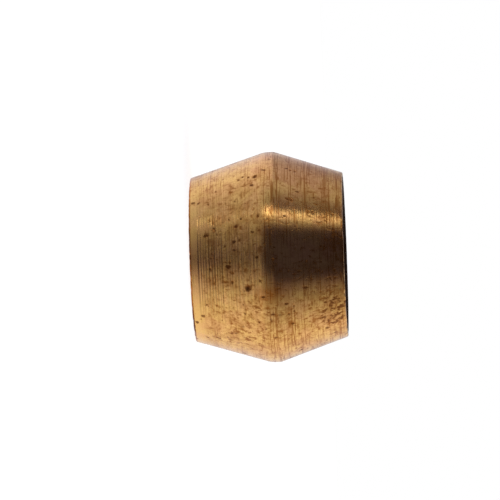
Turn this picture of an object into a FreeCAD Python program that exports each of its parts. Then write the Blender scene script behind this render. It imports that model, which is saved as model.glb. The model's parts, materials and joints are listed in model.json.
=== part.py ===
"""Compression olive for 8 mm tube: one ring of brass, turned and parted off in one piece.

A plain bore slips over the tube. Outside, two cones rise from the thin ends to a narrow crest, a
little above the middle. Tightening the nut drives the cones into their seats and closes the thin
ends on the tube.

Millimetres. +Z runs along the bore, and the olive stands on its lower end at z = 0.
"""

import FreeCAD, Part
import math
import os

# The tube that passes through, and the play all round it
TUBE_DIAMETER = 8.0
TUBE_PLAY = 0.06

# The ring around the bore: the wall's thickness, and the heights of the ring, its lower cone and its crest
END_WALL = 0.32
CREST_WALL = 1.56
LENGTH = 8.1
LOWER_CONE = 3.98
CREST_LAND = 0.5

# Edges left by the tools: rounds on the outside, a 45 degree lead-in at each mouth of the bore
CREST_ROUND = 0.25
RIM_ROUND = 0.07
BORE_LEAD = 0.1

# What follows from the sizes above
BORE_RADIUS = TUBE_DIAMETER / 2 + TUBE_PLAY
MOUTH_RADIUS = BORE_RADIUS + BORE_LEAD
END_RADIUS = BORE_RADIUS + END_WALL
CREST_RADIUS = BORE_RADIUS + CREST_WALL
CREST_TOP = LOWER_CONE + CREST_LAND

BORE_AXIS = FreeCAD.Vector(0, 0, 1)


def section_corners():
    """The wall's corners in order, each with the radius of its round, 0 where it stays sharp."""
    corners = [
        (BORE_RADIUS, BORE_LEAD, 0),
        (MOUTH_RADIUS, 0, 0),
        (END_RADIUS, 0, RIM_ROUND),
        (CREST_RADIUS, LOWER_CONE, CREST_ROUND),
        (CREST_RADIUS, CREST_TOP, CREST_ROUND),
        (END_RADIUS, LENGTH, RIM_ROUND),
        (MOUTH_RADIUS, LENGTH, 0),
        (BORE_RADIUS, LENGTH - BORE_LEAD, 0),
    ]
    return [(FreeCAD.Vector(reach, 0, height), radius) for reach, height, radius in corners]


def corner_arc(before, corner, after, radius):
    """Start, middle and end of the arc of that radius that touches both sides of a corner."""
    back = (before - corner).normalize()
    onward = (after - corner).normalize()
    inward = (back + onward).normalize()
    half_angle = back.getAngle(onward) / 2
    run = radius / math.tan(half_angle)
    depth = radius / math.sin(half_angle) - radius
    return corner + back * run, corner + inward * depth, corner + onward * run


def half_section():
    """The wall on one side of the axis, as a face in the XZ plane."""
    corners = section_corners()
    places = [corner for corner, _ in corners]
    arcs = [
        corner_arc(before, corner, after, radius)
        for before, (corner, radius), after in zip(places[-1:] + places, corners, places[1:] + places[:1])
    ]
    edges = []
    for i, (start, middle, end) in enumerate(arcs):
        edges.append(Part.LineSegment(arcs[i - 1][-1], start).toShape())
        if start != end:
            edges.append(Part.Arc(start, middle, end).toShape())
    return Part.Face(Part.Wire(edges))


def olive():
    """The whole ring: the wall turned once about the bore's axis."""
    return half_section().revolve(FreeCAD.Vector(), BORE_AXIS)


def main():
    os.makedirs("parts", exist_ok=True)
    olive().exportStep("parts/olive.step")


main()
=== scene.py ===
"""Compression olive: the turned brass ring, its finish, and the stage that it is shown on.

The ring stands on its lower end with the bore along +Z. It is modelled in millimetres, and the
finished mesh is scaled to the metres of the frame.
"""

import json
import math
import random
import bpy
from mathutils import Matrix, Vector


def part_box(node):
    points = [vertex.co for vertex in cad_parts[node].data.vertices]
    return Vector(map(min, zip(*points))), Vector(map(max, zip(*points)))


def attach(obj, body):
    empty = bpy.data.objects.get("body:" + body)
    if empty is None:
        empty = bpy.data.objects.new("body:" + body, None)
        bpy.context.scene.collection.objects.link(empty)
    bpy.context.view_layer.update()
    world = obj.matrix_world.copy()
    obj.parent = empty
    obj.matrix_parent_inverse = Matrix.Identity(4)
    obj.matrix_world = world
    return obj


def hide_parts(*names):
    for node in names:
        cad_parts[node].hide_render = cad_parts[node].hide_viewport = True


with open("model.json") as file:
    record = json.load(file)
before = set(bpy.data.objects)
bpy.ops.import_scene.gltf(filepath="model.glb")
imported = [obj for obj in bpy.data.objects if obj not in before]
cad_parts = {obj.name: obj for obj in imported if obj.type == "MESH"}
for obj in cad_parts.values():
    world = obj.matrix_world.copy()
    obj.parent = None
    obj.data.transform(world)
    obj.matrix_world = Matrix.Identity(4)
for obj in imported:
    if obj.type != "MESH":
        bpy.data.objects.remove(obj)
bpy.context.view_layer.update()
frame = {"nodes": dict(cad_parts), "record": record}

from types import SimpleNamespace

import bmesh
import bpy
from mathutils import Matrix, Vector, kdtree, noise

bl_info = {
    "name": "Compression olive",
    "version": (1, 0, 0),
    "blender": (4, 5, 0),
    "location": "3D View > Sidebar > Olive",
    "description": "Turns a tarnished brass compression olive and sets its stage",
    "category": "Object",
}

# Metres in a millimetre, and the frame's sizes in millimetres. The cones' mounts are at mid-height.
MM = 0.001
CAD_NODE = "olive"
CAD_LOW, CAD_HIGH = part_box(CAD_NODE)
MOUNTS = {mount["name"]: mount for mount in frame["record"]["mounts"]}
LENGTH = (CAD_HIGH.z - CAD_LOW.z) / MM
MIDDLE = LENGTH / 2
BORE_RADIUS = MOUNTS["bore"]["dims"]["r_mm"]
BORE_LEAD = (LENGTH - MOUNTS["bore"]["dims"]["length_mm"]) / 2
CREST_RADIUS = max(v.co.xy.length for v in frame["nodes"][CAD_NODE].data.vertices) / MM
CREST_LOW = 2 * MOUNTS["lower_cone"]["pos_m"][2] / MM
CREST_HIGH = 2 * MOUNTS["upper_cone"]["pos_m"][2] / MM - LENGTH

# Places nearer to each other than this are one place
SAME_PLACE = 1e-4

# Steps of a rounded corner, and cuts along the bore, across the crest's land and about each pit
ROUND_STEPS = 4
BORE_CUTS = 24
LAND_CUTS = 10
PIT_CUTS = 2
SMOOTH_ANGLE = math.radians(30)

# Passes of the tool: the least and greatest width of one. On the lower cone they are coarse between two
# heights, and lighter from there to where the crest rounds off. They stop short of corners and rims.
COARSE_LOW, COARSE_HIGH = 0.45, 1.8
COARSE_PASS = (0.125, 0.17)
LIGHT_PASS = (0.1, 0.28)
CREST_PASS = (0.08, 0.15)
UPPER_PASS = (0.07, 0.18)
BORE_PASS = (0.3, 0.7)
CREST_EASE = 0.3
CORNER_GAP = 0.05
RIM_GAP = 0.1

# Depth of the tool marks: of light passes and of those on the crest, where full ones are 1, and the least
# and greatest share of it that a single pass has
LIGHT_DEPTH = 0.4
CREST_DEPTH = 1 / 3
PASS_DEPTH = (0.5, 1)
MARK_SEED = 8

# The larger pits: turn about the bore in degrees, from -Y towards +X, then height and radius
LARGE_PITS = (
    (17, 3.05, 0.16), (-51, 3.55, 0.12), (-52, 3.2, 0.08), (-54, 2.9, 0.08), (-38, 1.05, 0.07),
    (6, 1.1, 0.07), (2, 2.15, 0.075), (-23, 1.3, 0.06), (-23, 2.8, 0.07), (-23, 3.7, 0.08),
    (-34, 5.45, 0.12), (-59, 5.42, 0.09), (-59, 5.64, 0.1), (-28, 6.55, 0.08), (3, 6.15, 0.07),
    (29, 5.4, 0.07), (41, 5.3, 0.08), (38, 3.55, 0.08), (14, 2.25, 0.07), (54, 7.05, 0.11),
    (105, 2.2, 0.15), (128, 5.9, 0.12), (171, 3.1, 0.16), (-160, 6.2, 0.11), (-118, 1.6, 0.14),
)

# Small pits: how far they keep from the ends, and their least and greatest radius
PIT_MARGIN = 0.3
SMALL_PIT = (0.035, 0.085)
PIT_SEED = 21

# Shape of a pit: its depth for a radius of 1, how far and how closely its edge wavers, and how many radii
# out its finer faces and its dark halo reach. The faces reach half a face more.
PIT_DEPTH = 0.22
EDGE_WAVER = 0.4
EDGE_WAVES = 5
PIT_FACES = 1.3
HALF_FACE = 0.05
PIT_HALO = 2

# A pit's mark: its strength in the smallest pits, what each millimetre of radius adds, and the share of it
# that is lost by the pit's edge
MARK_LEAST = 0.2
MARK_GAIN = 5
MARK_LOSS = 0.6

# Wear of the rims: how deep it bites, how far it reaches from the end, and how closely it varies
RIM_WEAR = 0.06
WEAR_REACH = 0.09
WEAR_WAVES = 3.5

# Places where stains gather: the middle, how far they spread and how thick they lie
STAINED = (
    ((3.35, -4.5, 3.95), 2.4, 1),
    ((3.05, -3.4, 7.5), 2.1, 1.7),
    ((4.1, -2.7, 2.4), 2.2, 1),
)

# Places where the skin is unlike the rest: the middle and the reach
PINK_SIDE = ((-4.8, -2.2, 5.6), 3.4)
PINK_RIM = ((0.4, -4.45, 0), 1.6)
BLUSHED_CREST = ((2, -5.25, 4.25), 1.1)
BLUSHED_RIM = ((0.4, -4.45, 0), 1.2)
RUBBED_FRONT = ((0, -5.2, 5.7), 3.2)
POLISHED_CREST = ((-2.6, -4.95, 4.4), 1.2)
BROWN_END = ((-4.6, -1.2, 7.2), 2.4)
DARK_RIM = ((3.4, -2.8, 0), 2.4)

# Height in millimetres that 1 stands for in the brass's fine relief
RELIEF = 0.006

# Reflections are drawn out across the tool's lines: how strongly, and the turn from them, of a full one
DRAWN_OUT = 0.8
DRAWN_TURN = 0.25

# The floor's width, and how brightly it shines to the camera besides the light that it scatters
FLOOR_SIZE = 600
FLOOR_GLOW = 0.82

# The tent's light by bearing, in radians from the camera's side towards +X: where the key side starts,
# where the fill side starts the other way, where the strip stands, and how far round, either way, the
# two sides begin to meet. Then its brightness: on the camera's side, on the brightest wall over that,
# and overhead.
KEY_BEARING = 0.27
FILL_BEARING = 0.74
STRIP_BEARING = -0.9
BACK_BEARING = 2.5
DARK_SIDE = 0.042
BRIGHT_WALL = 0.85
OVERHEAD = 0.02

# Tints of the tent: of the fill side, of its dim parts and of its darkest parts
PLAIN = (1, 1, 1, 1)
COOL = (1, 1.03, 1.16, 1)
DIM = (1, 0.79, 1.15, 1)
DARKEST = (1, 0.9, 1.55, 1)

# The picture: its width in pixels, its scale, and how far the ring's middle lies right of and below its own
PICTURE_PIXELS = 500
PIXELS_PER_MM = 18.72
OFF_RIGHT, OFF_DOWN = 1.047, 0.382
SENSOR = 36


class RingSizes(bpy.types.PropertyGroup):
    """Sizes of the ring that the frame doesn't hold, and how finely it is turned."""

    end_wall: bpy.props.FloatProperty(
        name="End wall", description="Thickness of the wall at its thin ends",
        default=0.32 * MM, min=0.2 * MM, max=1 * MM, unit="LENGTH", precision=5)
    lower_crest_round: bpy.props.FloatProperty(
        name="Lower crest round", description="How far the rounding of the crest's lower corner runs",
        default=0.22 * MM, min=0.005 * MM, max=0.24 * MM, unit="LENGTH", precision=5)
    upper_crest_round: bpy.props.FloatProperty(
        name="Upper crest round", description="How far the rounding of the crest's upper corner runs",
        default=0.09 * MM, min=0.005 * MM, max=0.24 * MM, unit="LENGTH", precision=5)
    rim_round: bpy.props.FloatProperty(
        name="Rim round", description="How far the rounding of the rims runs along each side",
        default=0.05 * MM, min=0.005 * MM, max=0.15 * MM, unit="LENGTH", precision=5)
    facets: bpy.props.IntProperty(
        name="Facets", description="Steps around the bore", default=256, min=24, max=512)
    cone_rows: bpy.props.IntProperty(
        name="Cone rows", description="Cuts along each cone", default=112, min=4, max=120)
    lower_marks: bpy.props.FloatProperty(
        name="Lower marks", description="Greatest depth of the tool marks on the lower cone",
        default=0.02 * MM, min=0, max=0.06 * MM, unit="LENGTH", precision=6)
    upper_marks: bpy.props.FloatProperty(
        name="Upper marks", description="Greatest depth of the tool marks on the upper cone",
        default=0.006 * MM, min=0, max=0.03 * MM, unit="LENGTH", precision=6)
    small_pits: bpy.props.IntProperty(
        name="Small pits", description="Pits scattered over the outside, besides the larger ones",
        default=80, min=0, max=200)


class BrassFinish(bpy.types.PropertyGroup):
    """Colours of the brass, of what has grown on it, and of the painted shade just inside the bore's
    mouths.
    """

    clean: bpy.props.FloatVectorProperty(
        name="Clean brass", description="Bare turned brass", subtype="COLOR", size=3,
        min=0, max=1, default=(0.97, 0.57, 0.185))
    rosy: bpy.props.FloatVectorProperty(
        name="Rosy brass", description="Skin that has lost zinc and turned pink", subtype="COLOR", size=3,
        min=0, max=1, default=(0.94, 0.48, 0.205))
    tarnish: bpy.props.FloatVectorProperty(
        name="Tarnish", description="Brown film along tool marks and in patches", subtype="COLOR", size=3,
        min=0, max=1, default=(0.42, 0.14, 0.022))
    rim: bpy.props.FloatVectorProperty(
        name="Lower rim", description="Burnt orange of the lower rim", subtype="COLOR", size=3,
        min=0, max=1, default=(0.5, 0.14, 0.01))
    pit: bpy.props.FloatVectorProperty(
        name="Pit", description="Floor of the pits and cores of the stains", subtype="COLOR", size=3,
        min=0, max=1, default=(0.13, 0.035, 0.012))
    bore: bpy.props.FloatVectorProperty(
        name="Bore", description="Dull brown of the bore", subtype="COLOR", size=3,
        min=0, max=1, default=(0.24, 0.13, 0.05))
    # Painted shade: the dark brown laid just inside the bore's mouths
    painted_shade: bpy.props.FloatVectorProperty(
        name="Painted shade", description="Dark dirt just inside the mouths of the bore", subtype="COLOR", size=3,
        min=0, max=1, default=(0.06, 0.025, 0.008))
    roughness: bpy.props.FloatProperty(
        name="Roughness", description="Roughness of the clean turned face", default=0.2, min=0, max=1)


class StageSettings(bpy.types.PropertyGroup):
    """The camera, the floor and the light."""

    lens: bpy.props.FloatProperty(
        name="Lens", description="Focal length", default=304, min=50, max=600, unit="CAMERA")
    elevation: bpy.props.FloatProperty(
        name="Elevation", description="Camera's height above the level of the ring",
        default=math.radians(2.42), min=0, max=math.pi / 2, unit="ROTATION")
    roll: bpy.props.FloatProperty(
        name="Roll", description="Turn of the picture past a quarter turn, which lays the ring on its side",
        default=math.radians(2.1), min=-math.pi, max=math.pi, unit="ROTATION")
    floor_colour: bpy.props.FloatVectorProperty(
        name="Floor", description="Pale floor", subtype="COLOR", size=3,
        min=0, max=1, default=(0.86, 0.86, 0.86))
    strip: bpy.props.FloatProperty(
        name="Strip", description="Brightness of the narrow upright light in front",
        default=2, min=0, max=10)


class Signal:
    """An output socket of a node. Arithmetic on it adds Math nodes to its tree."""

    def __init__(self, maker, socket):
        self.maker = maker
        self.socket = socket

    def __add__(self, other):
        return self.maker.maths("ADD", self, other)

    __radd__ = __add__

    def __sub__(self, other):
        return self.maker.maths("SUBTRACT", self, other)

    def __rsub__(self, other):
        return self.maker.maths("SUBTRACT", other, self)

    def __mul__(self, other):
        return self.maker.maths("MULTIPLY", self, other)

    __rmul__ = __mul__

    def __truediv__(self, other):
        return self.maker.maths("DIVIDE", self, other)

    def __pow__(self, other):
        return self.maker.maths("POWER", self, other)

    def __neg__(self):
        return self * -1

    def __abs__(self):
        return self.maker.maths("ABSOLUTE", self)

    def least(self, other):
        """The smaller of the two."""
        return self.maker.maths("MINIMUM", self, other)

    def most(self, other):
        """The larger of the two."""
        return self.maker.maths("MAXIMUM", self, other)

    def rise(self, start, end):
        """0 below start, 1 above end, with a smooth step between; start above end turns it round."""
        settings = {"interpolation_type": "SMOOTHSTEP", "clamp": True}
        inputs = {"Value": self, "From Min": start, "From Max": end, "To Min": 0, "To Max": 1}
        return self.maker.add("ShaderNodeMapRange", settings, inputs, "Result")


class NodeMaker:
    """Adds nodes to one emptied node tree."""

    def __init__(self, tree):
        self.tree = tree
        tree.nodes.clear()

    def add(self, kind, settings=None, inputs=None, output=None):
        """Adds a node, sets its settings, then its sockets, and gives one output, or the node itself."""
        node = self.tree.nodes.new(kind)
        for name, value in (settings or {}).items():
            setattr(node, name, value)
        sockets = {socket.identifier: socket for socket in node.inputs}
        for name, value in (inputs or {}).items():
            if isinstance(value, Signal):
                self.tree.links.new(value.socket, sockets[name])
            else:
                sockets[name].default_value = value
        if output is None:
            return node
        return self.output(node, output)

    def output(self, node, name):
        return Signal(self, next(socket for socket in node.outputs if socket.identifier == name))

    def maths(self, operation, *values):
        inputs = dict(zip(("Value", "Value_001"), values))
        return self.add("ShaderNodeMath", {"operation": operation}, inputs, "Value")

    def mix(self, share, first, second):
        """A colour between two others."""
        settings = {"data_type": "RGBA", "clamp_factor": True}
        inputs = {"Factor_Float": share, "A_Color": first, "B_Color": second}
        return self.add("ShaderNodeMix", settings, inputs, "Result_Color")

    def vector_maths(self, operation, first, second, output="Vector"):
        inputs = {"Vector": first, "Vector_001": second}
        return self.add("ShaderNodeVectorMath", {"operation": operation}, inputs, output)

    def place(self):
        """Object coordinates, in millimetres."""
        metres = self.add("ShaderNodeTexCoord", output="Object")
        return self.stretch(metres, 1 / MM, 1 / MM, 1 / MM)

    def stretch(self, vector, x, y, z):
        return self.vector_maths("MULTIPLY", vector, (x, y, z))

    def parts(self, vector):
        node = self.add("ShaderNodeSeparateXYZ", inputs={"Vector": vector})
        return [self.output(node, axis) for axis in "XYZ"]

    def noise(self, vector, scale, detail=2, roughness=0.5, output="Fac"):
        inputs = {"Vector": vector, "Scale": scale, "Detail": detail, "Roughness": roughness}
        return self.add("ShaderNodeTexNoise", {"noise_dimensions": "3D"}, inputs, output)

    def drawn_noise(self, vector, across, along, roughness=0.5):
        """Noise with one scale across the bore's axis and another along it."""
        return self.noise(self.stretch(vector, across, across, along), 1, roughness=roughness)

    def wander(self, vector, scale, far):
        """Places pushed about by up to half of far, so that what is drawn there has uneven outlines."""
        push = self.vector_maths("SUBTRACT", self.noise(vector, scale, output="Color"), (0.5, 0.5, 0.5))
        return self.vector_maths("ADD", vector, self.stretch(push, far, far, far))

    def near(self, vector, centre, reach):
        """1 at the centre, falling to 0 at reach from it."""
        return self.vector_maths("DISTANCE", vector, centre, "Value").rise(reach, 0)

    def spots(self, vector, pitch, share, radius):
        """Round spots up to that radius, in a share of the cells of that pitch."""
        node = self.add("ShaderNodeTexVoronoi", {"feature": "F1"}, {"Vector": vector, "Scale": 1 / pitch})
        distance = self.output(node, "Distance") * pitch
        luck = self.parts(self.output(node, "Color"))[0]
        own_radius = ((luck - (1 - share)) * (radius / share)).most(0.001)
        return (distance / own_radius).rise(1, 0.4)


def opaque(colour):
    return (*colour, 1)


def deselect_all():
    bpy.ops.object.select_all(action="DESELECT")


def edited_mesh():
    return bmesh.from_edit_mesh(bpy.context.edit_object.data)


def show_edits():
    bmesh.update_edit_mesh(bpy.context.edit_object.data)


def select_only(element_kind, wanted):
    """In edit mode, selects the vertices or edges for which wanted is true, and nothing else."""
    bpy.ops.mesh.select_mode(type=element_kind)
    bpy.ops.mesh.select_all(action="DESELECT")
    mesh = edited_mesh()
    for element in mesh.verts if element_kind == "VERT" else mesh.edges:
        if wanted(element):
            element.select_set(True)
    mesh.select_flush_mode()
    show_edits()


def outside_line(end_radius):
    """Corners of the outside from the lower rim to the upper rim, as (radius, height)."""
    return [(end_radius, 0), (CREST_RADIUS, CREST_LOW), (CREST_RADIUS, CREST_HIGH), (end_radius, LENGTH)]


def section_corners(end_radius):
    """Corners of the wall on one side of the axis, in order, as (radius, height)."""
    mouth = BORE_RADIUS + BORE_LEAD
    lower_mouth = [(BORE_RADIUS, BORE_LEAD), (mouth, 0)]
    upper_mouth = [(mouth, LENGTH), (BORE_RADIUS, LENGTH - BORE_LEAD)]
    return lower_mouth + outside_line(end_radius) + upper_mouth


def draw_outline(corners):
    """Draws a closed outline in the XZ plane, corner by corner, and stays in edit mode."""
    points = [Vector((radius, 0, height)) for radius, height in corners + corners[:1]]
    bpy.ops.mesh.primitive_plane_add(size=1)
    bpy.ops.object.mode_set(mode="EDIT")
    bpy.ops.mesh.merge(type="CENTER")
    bpy.ops.transform.translate(value=points[0])
    for here, there in zip(points, points[1:]):
        bpy.ops.mesh.extrude_vertices_move(TRANSFORM_OT_translate={"value": there - here})
    bpy.ops.mesh.select_all(action="SELECT")
    bpy.ops.mesh.remove_doubles(threshold=SAME_PLACE)


def round_corner(corner, run):
    """Rounds the outline's corner at that (radius, height)."""
    place = Vector((corner[0], 0, corner[1]))
    select_only("VERT", lambda v: (v.co - place).length < SAME_PLACE)
    bpy.ops.mesh.bevel(offset=run, offset_type="OFFSET", segments=ROUND_STEPS, affect="VERTICES")


def divide_edges(wanted, cuts):
    select_only("EDGE", wanted)
    bpy.ops.mesh.subdivide(number_cuts=cuts)


def at_radius(edge, radius):
    return all(abs(v.co.x - radius) < SAME_PLACE for v in edge.verts)


def is_bore(edge):
    return at_radius(edge, BORE_RADIUS)


def is_land(edge):
    return at_radius(edge, CREST_RADIUS)


def is_cone(edge):
    longer_than_land = edge.calc_length() > CREST_HIGH - CREST_LOW
    return longer_than_land and not is_bore(edge)


def tool_passes(draw, low, high, widths, depth):
    """Passes of the tool side by side from low to high, each as (start, end, depth)."""
    passes = []
    while low < high:
        width = draw.uniform(*widths)
        passes.append((low, low + width, depth * draw.uniform(*PASS_DEPTH)))
        low += width
    return passes


def hollow(passes, height):
    """Depth of the shallow hollow that the tool left at that height."""
    for start, end, depth in passes:
        if start <= height < end:
            across = 2 * (height - start) / (end - start) - 1
            return depth * (1 + math.cos(math.pi * across)) / 2
    return 0


def cut_tool_marks(sizes):
    """Sinks the rows of the cones, the crest and the bore into hollows left by passes of the tool."""
    draw = random.Random(MARK_SEED)
    coarse_depth = sizes.lower_marks / MM
    light_depth = coarse_depth * LIGHT_DEPTH
    upper_depth = sizes.upper_marks / MM
    stretches = (
        (COARSE_LOW, COARSE_HIGH, COARSE_PASS, coarse_depth),
        (COARSE_HIGH, CREST_LOW - CREST_EASE, LIGHT_PASS, light_depth),
        (CREST_LOW + CORNER_GAP, CREST_HIGH - CORNER_GAP, CREST_PASS, upper_depth * CREST_DEPTH),
        (CREST_HIGH + CORNER_GAP, LENGTH - RIM_GAP, UPPER_PASS, upper_depth),
    )
    turned = [each for stretch in stretches for each in tool_passes(draw, *stretch)]
    reamed = tool_passes(draw, 2 * BORE_LEAD, LENGTH - 2 * BORE_LEAD, BORE_PASS, light_depth)
    for vert in edited_mesh().verts:
        if abs(vert.co.x - BORE_RADIUS) < SAME_PLACE:
            vert.co.x += hollow(reamed, vert.co.z)
        else:
            vert.co.x -= hollow(turned, vert.co.z)
    show_edits()


def spin_outline(facets):
    bpy.ops.mesh.select_all(action="SELECT")
    bpy.ops.mesh.spin(steps=facets, angle=2 * math.pi, center=(0, 0, 0), axis=(0, 0, 1))
    bpy.ops.mesh.select_all(action="SELECT")
    bpy.ops.mesh.remove_doubles(threshold=SAME_PLACE)
    bpy.ops.mesh.normals_make_consistent(inside=False)


def on_outside(turn, height, end_radius):
    """Place on the outside at that turn in degrees, from -Y towards +X, and that height."""
    line = outside_line(end_radius)
    for (low_radius, low), (high_radius, high) in zip(line, line[1:]):
        if low <= height <= high:
            radius = low_radius + (high_radius - low_radius) * (height - low) / (high - low)
    angle = math.radians(turn)
    return Vector((radius * math.sin(angle), -radius * math.cos(angle), height))


def choose_pits(count, end_radius):
    """All pits as (place, radius): the larger ones, then small ones scattered over the outside."""
    draw = random.Random(PIT_SEED)
    least, greatest = SMALL_PIT
    pits = list(LARGE_PITS)
    for _ in range(count):
        turn = draw.uniform(-180, 180)
        height = draw.uniform(PIT_MARGIN, LENGTH - PIT_MARGIN)
        pits.append((turn, height, least + (greatest - least) * draw.random() ** 2))
    return [(on_outside(turn, height, end_radius), radius) for turn, height, radius in pits]


def search_tree(places):
    tree = kdtree.KDTree(len(places))
    for index, place in enumerate(places):
        tree.insert(place, index)
    tree.balance()
    return tree


def divide_round_pits(pits):
    """Divides the faces about each pit, so that its hollow has faces of its own."""
    bpy.ops.mesh.select_mode(type="FACE")
    bpy.ops.mesh.select_all(action="DESELECT")
    faces = list(edited_mesh().faces)
    tree = search_tree([face.calc_center_median() for face in faces])
    for place, radius in pits:
        for _, index, _ in tree.find_range(place, PIT_FACES * radius + HALF_FACE):
            faces[index].select_set(True)
    show_edits()
    bpy.ops.mesh.subdivide(number_cuts=PIT_CUTS)


def sink_pits(pits):
    """Sinks each pit to a hollow with an uneven edge, and marks it in the attribute pit.

    The mark is strongest in the middle of a large pit, and runs out in a halo past the edge.
    """
    mesh = edited_mesh()
    mark = mesh.verts.layers.float.new("pit")
    verts = list(mesh.verts)
    tree = search_tree([vert.co.copy() for vert in verts])
    for place, radius in pits:
        inward = Vector((-place.x, -place.y, 0)).normalized()
        strength = MARK_LEAST + MARK_GAIN * radius
        for spot, index, distance in tree.find_range(place, PIT_HALO * radius):
            edge = radius * (1 + EDGE_WAVER * noise.noise(spot * EDGE_WAVES))
            fill = 1 - (distance / edge) ** 2
            if fill > 0:
                verts[index].co += inward * (PIT_DEPTH * radius * fill)
            here = strength * (1 - MARK_LOSS * distance / edge)
            verts[index][mark] = max(verts[index][mark], here)
    show_edits()


def wear_rims(end_radius):
    """Wears the outer corner of both rims unevenly."""
    for vert in edited_mesh().verts:
        reach = vert.co.xy.length
        from_end = min(vert.co.z, LENGTH - vert.co.z)
        if from_end < WEAR_REACH and reach > end_radius - WEAR_REACH:
            worn = max(0, noise.noise(vert.co * WEAR_WAVES))
            bite = RIM_WEAR * worn * (1 - from_end / WEAR_REACH)
            vert.co.xy *= 1 - bite / reach
            vert.co.z += math.copysign(bite, MIDDLE - vert.co.z)
    show_edits()


def brass_masks(make):
    """Masks over the ring for what the tool left and for what has grown on the brass."""
    place = make.place()
    x, y, z = make.parts(place)
    lower = z.rise(CREST_LOW + 0.05, CREST_LOW - 0.05)
    # Painted light: the lower end, except on its -X side, is kept almost clear of brown and stains so that
    # it shows lighter
    painted_light_end = z.rise(1.1, 0.3) * x.rise(-4, -2.4)

    # Tool marks run round the ring, so their noise is drawn out that way
    broad_lines = make.drawn_noise(place, 0.18, 5)
    fine_lines = make.drawn_noise(place, 0.4, 17)
    tears = make.drawn_noise(place, 1.3, 9).rise(0.6, 0.7)
    grain = make.noise(place, 9, roughness=0.6)

    # Film lies in wide patches, and stains gather where it is thick and in three places in front
    film = make.noise(place, 0.55, detail=4, roughness=0.6)
    thick = film.rise(0.4, 0.66) * 0.6
    for centre, spread, weight in STAINED:
        thick = thick + make.near(place, centre, spread) * weight
    smears = make.drawn_noise(make.wander(place, 2.5, 0.2), 5.5, 2.8, roughness=0.6)
    patches = make.noise(place, 2.4, detail=1).rise(0.4, 0.58)
    stains = (smears + thick.least(1.6) * 0.14).rise(0.54, 0.78) * (0.35 + patches * 0.65)
    # Stains thin out on the lower end, which is kept light as painted light, and on the polished crest
    stains = stains * (1 - painted_light_end * 0.8) * (1 - make.near(place, *POLISHED_CREST))

    # Pits: the modelled ones carry the attribute, and finer ones are spots
    mark = make.add("ShaderNodeAttribute", {"attribute_name": "pit"}, output="Fac")
    freckles = make.spots(make.stretch(make.wander(place, 4, 0.25), 1, 1, 0.6), 0.42, 0.5, 0.15)
    blots = make.spots(make.wander(place, 5, 0.2), 0.3, 0.7, 0.13) * thick.rise(0.5, 1.1)
    specks = make.spots(place, 0.22, 0.6, 0.07)

    # The bore with painted shade, a darkening just inside its mouths, the lower rim, where the skin falls
    # away, and the line along the crest's upper corner
    reach = (x * x + y * y) ** 0.5
    bore = reach.rise(BORE_RADIUS + 1.6 * BORE_LEAD, BORE_RADIUS + 1.1 * BORE_LEAD)
    painted_shade = bore * (abs(z - MIDDLE) + grain * 0.5 + film * 0.6).rise(MIDDLE - 0.1, MIDDLE + 0.25)
    lower_rim = (z + grain * 0.08).rise(0.16, 0.1)
    rim_fall = z.rise(0.55, 0)
    corner_line = abs(z - CREST_HIGH).rise(0.09, 0.02) * film.rise(0.35, 0.6)

    # Skin that has turned pink or orange
    pink = make.noise(place, 1.3, detail=3).rise(0.4, 0.65) * 0.5 + make.near(place, *PINK_SIDE)
    pink = pink + make.near(place, *PINK_RIM) * 0.4
    blush = make.near(place, *BLUSHED_CREST) + make.near(place, *BLUSHED_RIM) * 0.3

    # Brown lies in the tool marks, less on the lower cone, under stains, where the ring is rubbed and on
    # the lower end, which is kept light as painted light
    mottle = make.noise(place, 1.9, detail=3).rise(0.42, 0.7)
    rubbed = make.near(place, *RUBBED_FRONT)
    brown = fine_lines.rise(0.53, 0.64) * (1 - lower * 0.7)
    brown = brown + broad_lines.rise(0.5, 0.7) * (0.35 - lower * 0.15)
    brown = brown * (1 - thick.least(1) * 0.55) + tears * (0.7 - lower * 0.35)
    brown = brown + grain.rise(0.48, 0.7) * 0.35
    brown = brown * (1 - rubbed * 0.75) + film.rise(0.45, 0.75) * 0.25 + corner_line * 0.3
    brown = (brown + mottle * 0.3) * (1 - painted_light_end * 0.9) + mark.rise(0, 0.45) * 0.5
    brown = brown + make.near(place, *BROWN_END) * 0.35

    return SimpleNamespace(
        lower=lower, broad_lines=broad_lines, fine_lines=fine_lines, tears=tears, grain=grain,
        stains=stains, stain_cores=stains.rise(0.4, 1) * thick.rise(0.8, 1.5), blots=blots,
        mark=mark, freckles=freckles, specks=specks, bore=bore, painted_shade=painted_shade, lower_rim=lower_rim,
        dark_rim=lower_rim * make.near(place, *DARK_RIM), rim_fall=rim_fall,
        pink=pink, blush=blush, brown=brown)


def brass_colour(make, masks, finish):
    """Clean brass under coats of other colours, each with the share that it covers, from below."""
    coats = (
        (masks.pink, finish.rosy),
        (masks.brown.least(0.85), finish.tarnish),
        (masks.stains * 0.9, finish.tarnish),
        (masks.stain_cores * 0.6 + masks.blots * 0.45, finish.pit),
        (masks.blush * 0.6, finish.rim),
        (masks.freckles * 0.7, finish.tarnish),
        (masks.freckles.rise(0.4, 1) * 0.5, finish.pit),
        (masks.specks * 0.4, finish.tarnish),
        (masks.mark.rise(0.4, 1) * 0.9, finish.pit),
        (masks.lower_rim * 0.85, finish.rim),
        (masks.dark_rim, finish.pit),
        (masks.bore, finish.bore),
        # Painted shade, darkening just inside the bore's mouths
        (masks.painted_shade, finish.painted_shade),
    )
    colour = opaque(finish.clean)
    for share, coat in coats:
        colour = make.mix(share, colour, opaque(coat))
    return colour


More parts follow.
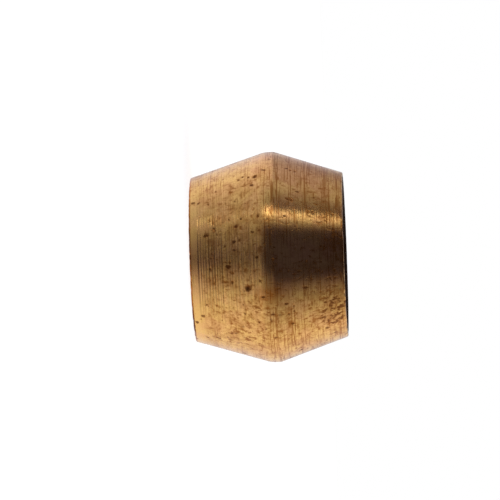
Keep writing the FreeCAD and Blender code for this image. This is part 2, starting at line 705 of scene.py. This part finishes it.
def brass_roughness(masks, clean):
    """Roughness that grows from that of clean brass with what covers it."""
    worked = clean + masks.lower * 0.06 + masks.bore * 0.15
    # Painted shade inside the bore's mouths is rougher too
    covered = masks.brown * 0.1 + masks.stains * 0.15 + masks.freckles * 0.3 + masks.painted_shade * 0.35
    return worked + covered + masks.mark.rise(0.1, 0.5) * 0.35


def brass_relief(masks):
    """Height of the fine relief: tool lines and grain, less what has eaten into the skin."""
    lines = masks.fine_lines * (0.8 + masks.lower * 0.5) + masks.broad_lines * (1 + masks.lower * 0.3)
    eaten = masks.freckles * 0.5 + masks.specks * 0.2 + masks.stains * 0.4 + masks.tears * 0.6
    return lines + masks.grain * 0.2 - eaten - masks.rim_fall * 4


def brass_material(finish):
    """Turned brass with a brown film, stains, pits and a dull bore."""
    material = bpy.data.materials.new("turned_brass")
    material.use_nodes = True
    make = NodeMaker(material.node_tree)
    masks = brass_masks(make)
    bump = make.add("ShaderNodeBump", inputs={
        "Strength": 1, "Distance": RELIEF * MM, "Height": brass_relief(masks)}, output="Normal")
    shader = make.add("ShaderNodeBsdfPrincipled", inputs={
        "Base Color": brass_colour(make, masks, finish),
        # Painted shade inside the bore's mouths is less metallic
        "Metallic": 1 - masks.painted_shade * 0.7,
        "Roughness": brass_roughness(masks, finish.roughness),
        "Normal": bump,
        "Anisotropic": DRAWN_OUT,
        "Anisotropic Rotation": DRAWN_TURN}, output="BSDF")
    make.add("ShaderNodeOutputMaterial", inputs={"Surface": shader})
    return material


class OLIVE_OT_turn_ring(bpy.types.Operator):
    """Turn the brass ring that stands for the frame's solid"""

    bl_idname = "olive.turn_ring"
    bl_label = "Turn the ring"

    def execute(self, context):
        sizes = context.scene.olive_ring
        end_radius = BORE_RADIUS + sizes.end_wall / MM
        runs = sizes.rim_round, sizes.lower_crest_round, sizes.upper_crest_round, sizes.rim_round
        pits = choose_pits(sizes.small_pits, end_radius)
        deselect_all()
        draw_outline(section_corners(end_radius))
        for corner, run in zip(outside_line(end_radius), runs):
            round_corner(corner, run / MM)
        divide_edges(is_cone, sizes.cone_rows)
        divide_edges(is_bore, BORE_CUTS)
        divide_edges(is_land, LAND_CUTS)
        cut_tool_marks(sizes)
        spin_outline(sizes.facets)
        divide_round_pits(pits)
        sink_pits(pits)
        wear_rims(end_radius)
        bpy.ops.mesh.select_all(action="SELECT")
        bpy.ops.transform.resize(value=(MM, MM, MM), center_override=(0, 0, 0))
        bpy.ops.object.mode_set(mode="OBJECT")
        ring = context.object
        ring.name = "turned_ring"
        ring.data.name = "turned_ring"
        bpy.ops.object.shade_smooth_by_angle(angle=SMOOTH_ANGLE)
        ring.data.materials.append(brass_material(context.scene.olive_brass))
        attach(ring, "root")
        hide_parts(CAD_NODE)
        return {"FINISHED"}


def floor_material(colour):
    """Pale floor that is white to the camera where it is lit, and keeps the shadow."""
    material = bpy.data.materials.new("pale_floor")
    material.use_nodes = True
    make = NodeMaker(material.node_tree)
    lit = make.add("ShaderNodeBsdfDiffuse", inputs={"Color": opaque(colour)}, output="BSDF")
    seen = make.add("ShaderNodeLightPath", output="Is Camera Ray")
    white = make.add("ShaderNodeEmission", inputs={"Strength": seen * FLOOR_GLOW}, output="Emission")
    both = make.add("ShaderNodeAddShader", inputs={"Shader": lit, "Shader_001": white}, output="Shader")
    make.add("ShaderNodeOutputMaterial", inputs={"Surface": both})
    return material


def tent_walls(bearing, z, back):
    """Brightness of the walls. Both sides brighten away from the camera, and they meet at the back."""
    low = (z + 0.2).least(0)
    lowest = (z + 0.56).least(0).most(-0.2)
    high = z.most(0)
    key_start = low * 0.6 + high * 0.4 - lowest * 0.6 + KEY_BEARING
    key_side = ((bearing - key_start) * (0.55 - low * 0.3)).most(0)
    fill_start = low * 2.65 + high * 0.56 + lowest * 2 + FILL_BEARING
    fill_side = ((-bearing - fill_start) * (low * 0.88 + 0.65)).most(0).least((0.68 - z).most(0.4))
    behind = (-bearing).rise(2, 2.8) * z.rise(0, 0.2)
    sides = (key_side + fill_side * (1 - behind * 0.4)).least(BRIGHT_WALL)
    back_wall = 0.75 - z.rise(-0.3, 0.3) * 0.3
    return sides * (1 - back) + back_wall * back + DARK_SIDE


def upright_strip(bearing, z):
    """A narrow strip with one sharp edge and one soft one, which fades upwards and ends below."""
    high = z.most(0)
    past_edge = bearing + high * 0.08 - STRIP_BEARING
    soft_side = past_edge.rise(0.15, 0) * 0.7 + past_edge.rise(0.38, 0) * 0.4
    return past_edge.rise(-0.09, -0.04) * soft_side * z.rise(-0.32, -0.08) * (1 - high * 0.9)


def studio_world(strip):
    """White to the camera. Reflections show a pale tent, dark where the camera stands, and a strip."""
    world = bpy.data.worlds.new("studio")
    world.use_nodes = True
    make = NodeMaker(world.node_tree)
    x, y, z = make.parts(make.add("ShaderNodeTexCoord", output="Generated"))
    bearing = make.maths("ARCTAN2", x, -y)
    back = abs(bearing).rise(BACK_BEARING, math.pi)
    overhead = z.rise(0.75, 0.95)
    around = tent_walls(bearing, z, back) + upright_strip(bearing, z) * strip
    seen = make.add("ShaderNodeLightPath", output="Is Camera Ray")
    light = (around * (1 - overhead) + overhead * OVERHEAD).most(seen)
    cool = (-bearing).rise(0.7, 1.5) * (1 - back) + back * 0.5
    tint = make.mix(cool * (1 - seen), PLAIN, COOL)
    tint = make.mix(light.rise(0.3, 0.03), tint, DIM)
    tint = make.mix(light.rise(0.08, 0.045), tint, DARKEST)
    background = make.add("ShaderNodeBackground", inputs={
        "Color": tint, "Strength": light}, output="Background")
    make.add("ShaderNodeOutputWorld", inputs={"Surface": background})
    return world


def set_camera(scene, stage):
    """Sets the camera at the photograph's angle: rolled, so that the bore runs across the picture."""
    tilt, roll = stage.elevation, stage.roll
    back = Vector((0, -math.cos(tilt), math.sin(tilt)))
    along = Vector((0, math.sin(tilt), math.cos(tilt)))
    across = Vector((-1, 0, 0))
    right = along * math.cos(roll) - across * math.sin(roll)
    up = along * math.sin(roll) + across * math.cos(roll)
    distance = PICTURE_PIXELS * stage.lens / SENSOR / PIXELS_PER_MM
    centre = Vector((0, 0, MIDDLE))
    spot = (centre + back * distance - right * OFF_RIGHT + up * OFF_DOWN) * MM
    camera = bpy.data.cameras.new("camera")
    camera.lens = stage.lens
    camera.sensor_width = SENSOR
    camera.clip_start = 1 * MM
    holder = bpy.data.objects.new("camera", camera)
    scene.collection.objects.link(holder)
    turn = Matrix((right, up, back)).transposed().to_4x4()
    holder.matrix_world = Matrix.Translation(spot) @ turn
    scene.camera = holder


class OLIVE_OT_set_stage(bpy.types.Operator):
    """Lay the floor, set the light and set up the camera"""

    bl_idname = "olive.set_stage"
    bl_label = "Set the stage"

    def execute(self, context):
        scene = context.scene
        stage = scene.olive_stage
        deselect_all()
        bpy.ops.mesh.primitive_plane_add(size=FLOOR_SIZE * MM)
        floor = context.object
        floor.name = "floor"
        floor.data.materials.append(floor_material(stage.floor_colour))
        floor.visible_glossy = False
        scene.world = studio_world(stage.strip)
        set_camera(scene, stage)
        scene.view_settings.view_transform = "Standard"
        return {"FINISHED"}


class OLIVE_PT_build(bpy.types.Panel):
    """Lists the steps and their settings"""

    bl_idname = "OLIVE_PT_build"
    bl_label = "Compression olive"
    bl_space_type = "VIEW_3D"
    bl_region_type = "UI"
    bl_category = "Olive"

    def draw(self, context):
        for step, groups in STEPS:
            self.layout.operator(step)
            for group in groups:
                for name in group.__annotations__:
                    self.layout.prop(getattr(context.scene, SETTINGS[group]), name)


SETTINGS = {RingSizes: "olive_ring", BrassFinish: "olive_brass", StageSettings: "olive_stage"}
STEPS = (("olive.turn_ring", (RingSizes, BrassFinish)), ("olive.set_stage", (StageSettings,)))
CLASSES = (*SETTINGS, OLIVE_OT_turn_ring, OLIVE_OT_set_stage, OLIVE_PT_build)


def register():
    for each in CLASSES:
        bpy.utils.register_class(each)
    for group, name in SETTINGS.items():
        setattr(bpy.types.Scene, name, bpy.props.PointerProperty(type=group))


def unregister():
    for name in SETTINGS.values():
        delattr(bpy.types.Scene, name)
    for each in reversed(CLASSES):
        bpy.utils.unregister_class(each)


def main():
    register()
    bpy.ops.olive.turn_ring()
    bpy.ops.olive.set_stage()


if __name__ == "__main__":
    main()
